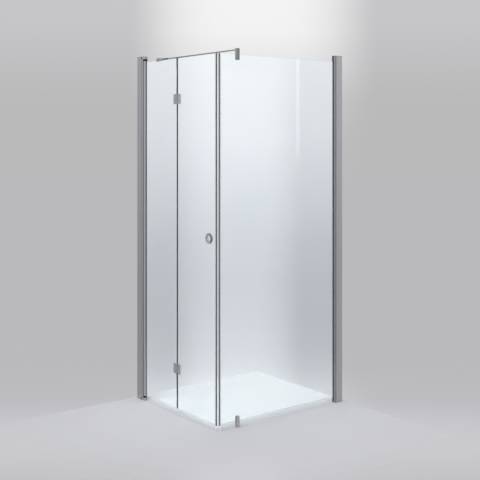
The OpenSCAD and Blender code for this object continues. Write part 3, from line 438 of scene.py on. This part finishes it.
def speckle(tree, place, sizes_mm, low, high, detail=2.0):
    """A noise of that real size, as a number from low to high."""
    noise = add_node(tree, "ShaderNodeTexNoise", {"Scale": 1.0, "Detail": detail},
                     {"Vector": stretched(tree, place, sizes_mm)})
    darkest, brightest = NOISE_RANGE
    return add_node(tree, "ShaderNodeMapRange",
                    {"From Min": darkest, "From Max": brightest, "To Min": low, "To Max": high},
                    {"Value": noise.outputs[0]}).outputs[0]


print("a 1.5 mm pattern has a scale of", round(1 / (1.5 * MM)), "per metre")


# %% Two tones and relief
def two_tone(tree, shader, amount, low, high):
    """The shader's colour, between two hex colours."""
    mix = add_node(tree, "ShaderNodeMix", {6: linear(low), 7: linear(high)}, {0: amount},
                   data_type="RGBA")
    tree.links.new(mix.outputs[2], shader.inputs["Base Color"])


def relief(tree, shader, height, depth_mm, strength):
    """Fine relief of that depth, for what is too small to model."""
    bump = add_node(tree, "ShaderNodeBump", {"Distance": depth_mm * MM, "Strength": strength},
                    {"Height": height})
    tree.links.new(bump.outputs[0], shader.inputs["Normal"])


# %% [markdown]
# ## Bright anodised aluminium
# The profiles are pressed through a die, polished and anodised. The oxide layer takes the sparkle
# off the metal and leaves a soft grey mirror. The die leaves very fine lines along the profile.
# They could be modelled, but they are a hundredth of a millimetre deep: a noise that is drawn out
# along Z does it. The lines are drawn 1.5 mm apart, coarser than the real ones, so that they show.

# %% Aluminium
def bright_anodised_aluminium():
    material, tree, shader, place = start_material("bright_anodised_aluminium", Metallic=1.0)
    lines = speckle(tree, place, (1.5, 1.5, 400), 0.0, 1.0, detail=3.0)
    two_tone(tree, shader, lines, "B7B8BB", "C1C2C4")
    roughness = speckle(tree, place, (2.5, 2.5, 250), 0.14, 0.24, detail=3.0)
    tree.links.new(roughness, shader.inputs["Roughness"])
    relief(tree, shader, lines, 0.01, 0.4)
    return material


FINISHES = {"profile_aluminium": bright_anodised_aluminium()}
print("made", FINISHES["profile_aluminium"].name)

# %% [markdown]
# ## Chrome plate
# Hinges, clamps, grip and brackets are cast, polished and chromed. Chromium reflects a little over
# half of the light, so it looks darker than silver. The polish under the plate is never quite
# flat: a wave about two centimetres long bends the reflections slightly, and dried drops leave
# small duller spots.

# %% Chrome
def chrome_plate():
    material, tree, shader, place = start_material("chrome_plate", Metallic=1.0)
    wave = speckle(tree, place, (18, 18, 18), 0.0, 1.0, detail=1.0)
    two_tone(tree, shader, wave, "BBBCBF", "C6C7C9")
    spots = speckle(tree, place, (3, 3, 4), 0.04, 0.10, detail=4.0)
    tree.links.new(spots, shader.inputs["Roughness"])
    relief(tree, shader, wave, 0.03, 0.5)
    return material


FINISHES["chromed_fittings"] = chrome_plate()
print("made", FINISHES["chromed_fittings"].name)

# %% [markdown]
# ## Machined stainless steel
# Screws and pins are turned and left as they come off the machine. The rings that the tool leaves
# are too fine to show on parts this small, so an even grain breaks up the mirror instead. It is
# drawn 0.6 mm coarse, so that it shows.

# %% Stainless steel
def machined_stainless_steel():
    material, tree, shader, place = start_material("machined_stainless_steel", Metallic=1.0)
    grain = speckle(tree, place, (0.6, 0.6, 0.6), 0.0, 1.0, detail=4.0)
    two_tone(tree, shader, grain, "A9AAAC", "BABBBD")
    roughness = speckle(tree, place, (1.2, 1.2, 1.2), 0.2, 0.34)
    tree.links.new(roughness, shader.inputs["Roughness"])
    relief(tree, shader, grain, 0.01, 0.5)
    return material


FINISHES["stainless_steel"] = machined_stainless_steel()
print("made", FINISHES["stainless_steel"].name)

# %% [markdown]
# ## Toughened float glass
# Clear float glass, 6 mm thick. Pure transparency would make the panes vanish: the eye finds them
# by what they mirror and by a faint milky blue, which comes from the coating and the light in the
# pane. So a small share of each face scatters light. Cycles lets no lamp's light through glass to
# what lies behind, so shadow rays meet a nearly clear surface instead.

# %% Glass
GLASS_CLEAR = 0.95
GLASS_SHADOW = "F4F8F8"


def toughened_float_glass():
    material, tree, shader, place = start_material(
        "toughened_float_glass", **{"Transmission Weight": GLASS_CLEAR, "IOR": 1.52})
    film = speckle(tree, place, (260, 260, 420), 0.0, 1.0)
    two_tone(tree, shader, film, "F4F9FC", "F8FCFE")
    marks = speckle(tree, place, (40, 40, 90), 0.0, 0.02, detail=3.0)
    tree.links.new(marks, shader.inputs["Roughness"])
    ray = add_node(tree, "ShaderNodeLightPath")
    see_through(tree, shader, ray.outputs["Is Shadow Ray"], GLASS_SHADOW)
    return material


FINISHES["safety_glass"] = toughened_float_glass()
print("made", FINISHES["safety_glass"].name, "with", GLASS_CLEAR, "of it clear")

# %% [markdown]
# ## Clear plastics
# The seals are extruded from clear soft PVC, a little milky and drawn out lengthwise. The
# threshold and the corner block are clear acrylic, harder and glossier. The gaskets under the
# hinge plates are a cloudier plastic. Seals and gaskets lie face to face on the glass, where two
# refracting surfaces would quarrel about which comes first. So these plastics don't refract: a low
# alpha lets much of the light straight through, and the rest of the surface keeps the milky look.

# %% Clear plastics
GLOSS_SPREAD = (0.7, 1.3)


def clear_plastic(name, low, high, cover, roughness, ior):
    material, tree, shader, place = start_material(name, Alpha=cover, IOR=ior)
    drawn = speckle(tree, place, (6, 6, 180), 0.0, 1.0)
    two_tone(tree, shader, drawn, low, high)
    dull = speckle(tree, place, (5, 5, 60), *(roughness * share for share in GLOSS_SPREAD))
    tree.links.new(dull, shader.inputs["Roughness"])
    return material


FINISHES["clear_seal"] = clear_plastic("clear_soft_pvc", "D6DDE1", "E4EAED", 0.07, 0.22, 1.53)
FINISHES["clear_acrylic"] = clear_plastic("clear_acrylic", "D2D8DB", "DEE3E6", 0.05, 0.1, 1.49)
FINISHES["clear_gasket"] = clear_plastic("cloudy_soft_plastic", "CDD3D6", "D8DDE0", 0.6, 0.4, 1.5)
print("made", [FINISHES[slot].name for slot in ("clear_seal", "clear_acrylic", "clear_gasket")])

# %% [markdown]
# ## Rubber and solid plastics
# Extruded rubber is nearly black with a dull sheen along its length. Moulded parts have a fine
# spark texture from the mould, too fine to model, so it is relief only. Both are drawn about a
# millimetre coarse, so that they show. The magnet in each seal is a plastic-bonded strip with a
# plain matt face. Both strips are the same black magnet; the one in the pane's seal is painted
# paler, as painted light for how the light falls on its face, so the painted shade changes with X
# between the two.

# %% Extruded rubber and soft plastic
def extruded_rubber(name, low, high):
    material, tree, shader, place = start_material(name, **{"Specular IOR Level": 0.4})
    lines = speckle(tree, place, (1.2, 1.2, 150), 0.0, 1.0)
    two_tone(tree, shader, lines, low, high)
    roughness = speckle(tree, place, (2, 2, 90), 0.42, 0.6)
    tree.links.new(roughness, shader.inputs["Roughness"])
    relief(tree, shader, lines, 0.03, 0.5)
    return material


FINISHES["fold_seal_plastic"] = extruded_rubber("soft_grey_plastic", "17181A", "202224")
FINISHES["dark_rubber"] = extruded_rubber("black_rubber", "35383B", "404346")
print("made", [FINISHES[slot].name for slot in ("fold_seal_plastic", "dark_rubber")])


# %% Moulded plastics
def moulded_plastic(name, low, high, rough_low, rough_high):
    material, tree, shader, place = start_material(name)
    texture = speckle(tree, place, (0.8, 0.8, 0.8), 0.0, 1.0, detail=4.0)
    two_tone(tree, shader, texture, low, high)
    roughness = speckle(tree, place, (4, 4, 4), rough_low, rough_high)
    tree.links.new(roughness, shader.inputs["Roughness"])
    relief(tree, shader, texture, 0.03, 0.6)
    return material


FINISHES["bush_plastic"] = moulded_plastic("black_acetal", "17181A", "202123", 0.3, 0.42)
FINISHES["cap_plastic"] = moulded_plastic("metal_grey_abs", "8B8E92", "969A9D", 0.35, 0.5)
FINISHES["dark_sleeve"] = moulded_plastic("dark_grey_nylon", "3A3D40", "44474A", 0.35, 0.48)
print("made", [FINISHES[slot].name for slot in ("bush_plastic", "cap_plastic", "dark_sleeve")])

# %% Magnets
MAGNET_PAINTED_LIGHT_STEP = (-8, -6)


def bonded_magnet():
    """Black, painted paler as painted light past a step measured in mm from the glass corner."""
    material, tree, shader, place = start_material("plastic_bonded_magnet_painted_light")
    sideways = add_node(tree, "ShaderNodeSeparateXYZ", links={"Vector": place}).outputs["X"]
    start, end = (CORNER.x + edge * MM for edge in MAGNET_PAINTED_LIGHT_STEP)
    painted_light_side = add_node(tree, "ShaderNodeMapRange", {"From Min": start, "From Max": end},
                         {"Value": sideways}).outputs[0]
    # Painted light: the pane's strip is painted paler than the door's, though both are the same
    # black magnet.
    two_tone(tree, shader, painted_light_side, "2B2D2F", "63676A")
    roughness = speckle(tree, place, (4, 4, 4), 0.5, 0.65)
    tree.links.new(roughness, shader.inputs["Roughness"])
    return material


FINISHES["magnet_core"] = bonded_magnet()
print("made", FINISHES["magnet_core"].name, "and with it", len(FINISHES), "finishes")

# %% [markdown]
# ## Finishes on the CAD nodes
# The record says which slot each node belongs to, so one loop dresses them all.

# %% Dress every node
SLOT_OF = {part["node"]: part["material_slot"] for part in frame["record"]["subparts"]}

for node, slot_name in SLOT_OF.items():
    for material_slot in frame["nodes"][node].material_slots:
        material_slot.material = FINISHES[slot_name]
print("dressed", len(SLOT_OF), "nodes in", len(set(SLOT_OF.values())), "finishes")

# %% [markdown]
# ## Eased edges
# No real edge is perfectly sharp: glass edges are ground, chromed parts are polished, extrusions
# come out of the die with a small radius. That narrow radius is what glints. A node's mesh isn't
# changed, so the piece is made from a copy of it: loose triangles are merged, flat areas become
# single faces, and the sharp edges get a small bevel.

# %% A copy of a node
MERGE = 1e-6
FLAT = radians(0.3)


def merged_copy(node):
    """A bmesh of a node, with its triangles merged and its flat areas made whole."""
    bm = bmesh.new()
    bm.from_mesh(frame["nodes"][node].data)
    bmesh.ops.remove_doubles(bm, verts=bm.verts, dist=MERGE)
    bmesh.ops.dissolve_limit(bm, angle_limit=FLAT, verts=bm.verts, edges=bm.edges)
    return bm


# %% The piece made from a copy
BODY_OF = {
    node: body
    for body, nodes in frame["record"]["behaviour"]["bodies"].items()
    for node in nodes
}


def stand_in(bm, name, node, slot_name=None):
    """Makes the piece that stands for a node, on the node's body and with a slot's finish."""
    mesh = bpy.data.meshes.new(name)
    bmesh.ops.recalc_face_normals(bm, faces=bm.faces)
    for face in bm.faces:
        face.smooth = True
    bm.to_mesh(mesh)
    bm.free()
    slot_name = slot_name or SLOT_OF[node]
    mesh.materials.append(FINISHES[slot_name])
    piece = bpy.data.objects.new(name, mesh)
    scene.collection.objects.link(piece)
    piece.modifiers.new("flat faces stay flat", "WEIGHTED_NORMAL")
    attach(piece, BODY_OF[node])
    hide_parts(node)
    print(name, "faces:", len(mesh.polygons))


# %% Small rounds
SHARP = radians(35)


def bevel_sharp(bm, ease_mm):
    """A small round of two steps on every sharp edge."""
    sharp = [edge for edge in bm.edges if edge.is_manifold and edge.calc_face_angle() > SHARP]
    bmesh.ops.bevel(bm, geom=sharp, offset=ease_mm * MM, offset_type="OFFSET", affect="EDGES",
                    segments=2, profile=0.5, clamp_overlap=True, material=-1)


# %% Pieces with eased edges
# The width of each node's rounds, in mm.
EASED = {
    "fixed_glass": 0.7, "wall_leaf_glass": 0.7, "grip_leaf_glass": 0.7,
    "upper_hinge_wall_plate": 0.5, "lower_hinge_wall_plate": 0.5,
    "upper_hinge_grip_plate": 0.5, "lower_hinge_grip_plate": 0.5,
    "floor_clamp_body": 0.6, "floor_clamp_plate": 0.6,
    "bar_clamp_body": 0.6, "bar_clamp_plate": 0.6,
    "upper_pivot_bracket": 0.5, "lower_pivot_bracket": 0.5,
    "upper_pivot_bush": 0.5, "lower_pivot_bush": 0.5,
    "stabiliser_bar": 0.4, "bar_wall_socket": 0.4, "bar_sleeve": 0.25, "pivot_tube": 0.2,
    "door_wall_profile": 0.3, "panel_wall_profile": 0.3,
    "hinge_post": 0.3, "adjusting_profile": 0.3,
    "door_profile_cap": 0.4, "panel_profile_cap": 0.4,
    "door_threshold": 0.6, "corner_block": 0.8,
}
for node, ease_mm in EASED.items():
    bm = merged_copy(node)
    bevel_sharp(bm, ease_mm)
    stand_in(bm, node + "_eased", node)

# %% [markdown]
# ## The glazing gasket
# The gasket of the fixed pane shows as a dark line beside its profile, and that line is as wide as
# its lips are long. On the real one they are pressed in until they hardly pass the profile's nose,
# so the lips of the copy are drawn in before their ends are rounded.

# %% Gasket with its lips pressed in
LIP_REACH = 1.0
LIP_PRESSED_IN = 2.8
LIP_ROUND = 1.2

bm = merged_copy("glazing_gasket")
lip_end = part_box("glazing_gasket")[0].y
for vert in bm.verts:
    if vert.co.y < lip_end + LIP_REACH * MM:
        vert.co.y += LIP_PRESSED_IN * MM
bevel_sharp(bm, LIP_ROUND)
stand_in(bm, "glazing_gasket_pressed_in", "glazing_gasket")

# %% [markdown]
# ## The magnets
# The magnet strips are what makes the two dark lines at the corner. Each lies in a pocket of its
# clear seal, and in the drawing the two touch all round. A renderer can't tell which of two faces
# in one place comes first, so the strips are made a tenth of a millimetre smaller on every side,
# as they are when they slide in.

# %% Magnet strips with play
MAGNET_PLAY = 0.1
MAGNET_EASE = 0.3

for node in ("door_magnet_strip", "panel_magnet_strip"):
    low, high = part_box(node)
    bm = merged_copy(node)
    smaller = [1 - 2 * MAGNET_PLAY * MM / side for side in high - low]
    middle = (low + high) / 2
    bmesh.ops.translate(bm, verts=bm.verts, vec=-middle)
    bmesh.ops.scale(bm, verts=bm.verts, vec=smaller)
    bmesh.ops.translate(bm, verts=bm.verts, vec=middle)
    bevel_sharp(bm, MAGNET_EASE)
    stand_in(bm, node + "_with_play", node)

# %% [markdown]
# ## Screws with hexagon sockets
# The screws of the clamps and hinges are tightened with a hexagon key. A socket could be a dark
# patch in the material, but its walls catch the light when the door turns. So it is made in the
# head: the flat face is inset, the inset is drawn to a hexagon, and it is pushed in.

# %% Hexagon sockets
HEAD_FACING = 0.99
SOCKET_RIM = 0.3


def sink_sockets(bm, facing, across_mm, deep_mm, least_mm):
    """Pushes a hexagon into each flat head that faces a direction and has at least a radius."""
    facing = Vector(facing)
    side = facing.orthogonal().normalized()
    up = facing.cross(side)
    least = pi * (least_mm * MM) ** 2
    heads = [face for face in bm.faces
             if face.normal.dot(facing) > HEAD_FACING and face.calc_area() > least]
    for head in heads:
        centre = head.calc_center_median()
        bmesh.ops.inset_individual(bm, faces=[head], thickness=SOCKET_RIM * MM)
        for vert in head.verts:
            away = vert.co - centre
            turn = atan2(away.dot(up), away.dot(side)) % radians(60) - radians(30)
            vert.co = centre + away.normalized() * (across_mm / 2 * MM / cos(turn))
        sunk = bmesh.ops.extrude_discrete_faces(bm, faces=[head])["faces"]
        bmesh.ops.translate(bm, verts=sunk[0].verts[:], vec=facing * -deep_mm * MM)
    return len(heads)


# %% Screws
# Where the heads face, the hexagon's width and depth, and the least radius of a head, in mm.
SCREWS = {
    "wall_leaf_screws": ((0, 1, 0), 5.0, 2.4, 4.0),
    "grip_leaf_screws": ((0, 1, 0), 5.0, 2.4, 4.0),
    "clamp_screws": ((-1, 0, 0), 3.0, 1.6, 3.0),
    "bar_set_screws": ((0, 0, 1), 2.0, 1.2, 1.5),
}
SCREW_EASE = 0.15

for node, (facing, across_mm, deep_mm, least_mm) in SCREWS.items():
    bm = merged_copy(node)
    sockets = sink_sockets(bm, facing, across_mm, deep_mm, least_mm)
    bevel_sharp(bm, SCREW_EASE)
    stand_in(bm, node + "_with_sockets", node)
    print("sockets:", sockets)

# %% [markdown]
# ## The fold seal
# The seal between the leaves is pressed from two plastics in one die: hard clear legs that grip
# the glass, and a soft dark body that fills the gap. Two materials on one mesh would do, but the
# two halves also have different edges. So the node's copy is cut in two along the line where the
# plastics meet.

# %% Cutting a copy in two
def cut_at_x(bm, x, keep_above):
    """Cuts a mesh at a plane across X, keeps one side and closes it."""
    cut = bmesh.ops.bisect_plane(bm, geom=bm.verts[:] + bm.edges[:] + bm.faces[:], dist=MERGE,
                                 plane_co=(x, 0, 0), plane_no=(1, 0, 0),
                                 clear_inner=keep_above, clear_outer=not keep_above)
    edges = [part for part in cut["geom_cut"] if isinstance(part, bmesh.types.BMEdge)]
    bmesh.ops.triangle_fill(bm, edges=edges, use_dissolve=True, use_beauty=True)


# %% Fold seal in two plastics
SEAL_ROOT = -1.5

cut_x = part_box("wall_leaf_glass")[1].x + SEAL_ROOT * MM
for name, keep_above, ease_mm, slot_name in (
        ("fold_seal_body", True, 1.2, "fold_seal_plastic"),
        ("fold_seal_legs", False, 0.3, "clear_seal")):
    bm = merged_copy("fold_seal")
    cut_at_x(bm, cut_x, keep_above)
    bevel_sharp(bm, ease_mm)
    stand_in(bm, name, "fold_seal", slot_name)

# %% [markdown]
# ## The ring grip
# The grip is a pair of rings round a finger hole. The outer ring carries a barrel that passes the
# glass and ends inside the inner ring, and its face is dished a little, to lead the finger in.
# Both are turned from bar, so they are spun here: the half section is a face with a few corners,
# each corner is rounded with a vertex bevel, and its outline goes round the axis.

# %% Spinning an outline
ROUND_STEPS = 6
SPIN_STEPS = 96


def spin_outline(bm, corners, centre):
    """Spins an outline round an axis along Y. Its corners are radius, depth and round, in mm."""
    verts = [bm.verts.new((centre.x + radius * MM, centre.y + depth * MM, centre.z))
             for radius, depth, _ in corners]
    bm.faces.new(verts)
    for vert, (_, _, round_mm) in zip(verts, corners):
        if round_mm:
            bmesh.ops.bevel(bm, geom=[vert], offset=round_mm * MM, offset_type="OFFSET",
                            affect="VERTICES", segments=ROUND_STEPS, profile=0.5,
                            clamp_overlap=True, material=-1)
    bmesh.ops.delete(bm, geom=bm.faces[:], context="FACES_ONLY")
    bmesh.ops.spin(bm, geom=bm.verts[:] + bm.edges[:], cent=centre, axis=(0, 1, 0), angle=2 * pi,
                   steps=SPIN_STEPS, use_merge=True)
    bmesh.ops.remove_doubles(bm, verts=bm.verts, dist=MERGE)
    # A spin makes its faces in another order each run, so they are sorted by their points.
    bm.verts.index_update()
    points = len(bm.verts)
    bm.faces.sort(key=lambda face: min(vert.index for vert in face.verts) * points
                  + max(vert.index for vert in face.verts))


# %% Sections of the rings
# All in mm.
GRIP_BORE = 16.0
BARREL_WALL = 2.5
BARREL_PLAY = 0.05
FLANGE = 2.6
DISH = 1.9
MOUTH_ROUND = 0.4
RIM_LAND = 1.4
LAND_ROUND = 0.6
RIM_ROUND = 1.1
EDGE_ROUND = 0.3


def grip_sections():
    """The outlines of the outer and the inner ring, with depths from the outer ring's face."""
    outer_low, outer_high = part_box("outer_grip_ring")
    inner_low, inner_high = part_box("inner_grip_ring")
    rim = (outer_high.x - outer_low.x) / 2 / MM
    deep, start, end = ((y - outer_low.y) / MM for y in (outer_high.y, inner_low.y, inner_high.y))
    barrel = GRIP_BORE + BARREL_WALL
    outer = [(GRIP_BORE, DISH, MOUTH_ROUND), (rim - RIM_LAND, 0, LAND_ROUND), (rim, 0, RIM_ROUND),
             (rim, FLANGE, EDGE_ROUND), (barrel, FLANGE, 0), (barrel, deep, EDGE_ROUND),
             (GRIP_BORE, deep, EDGE_ROUND)]
    bore = barrel + BARREL_PLAY
    inner = [(bore, start, 0), (rim, start, EDGE_ROUND), (rim, end, RIM_ROUND),
             (bore, end, RIM_ROUND)]
    return {"outer_grip_ring": outer, "inner_grip_ring": inner}


# %% Ring grip
low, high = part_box("outer_grip_ring")
grip_centre = Vector(((low.x + high.x) / 2, low.y, (low.z + high.z) / 2))
for node, corners in grip_sections().items():
    bm = bmesh.new()
    spin_outline(bm, corners, grip_centre)
    stand_in(bm, node + "_turned", node)
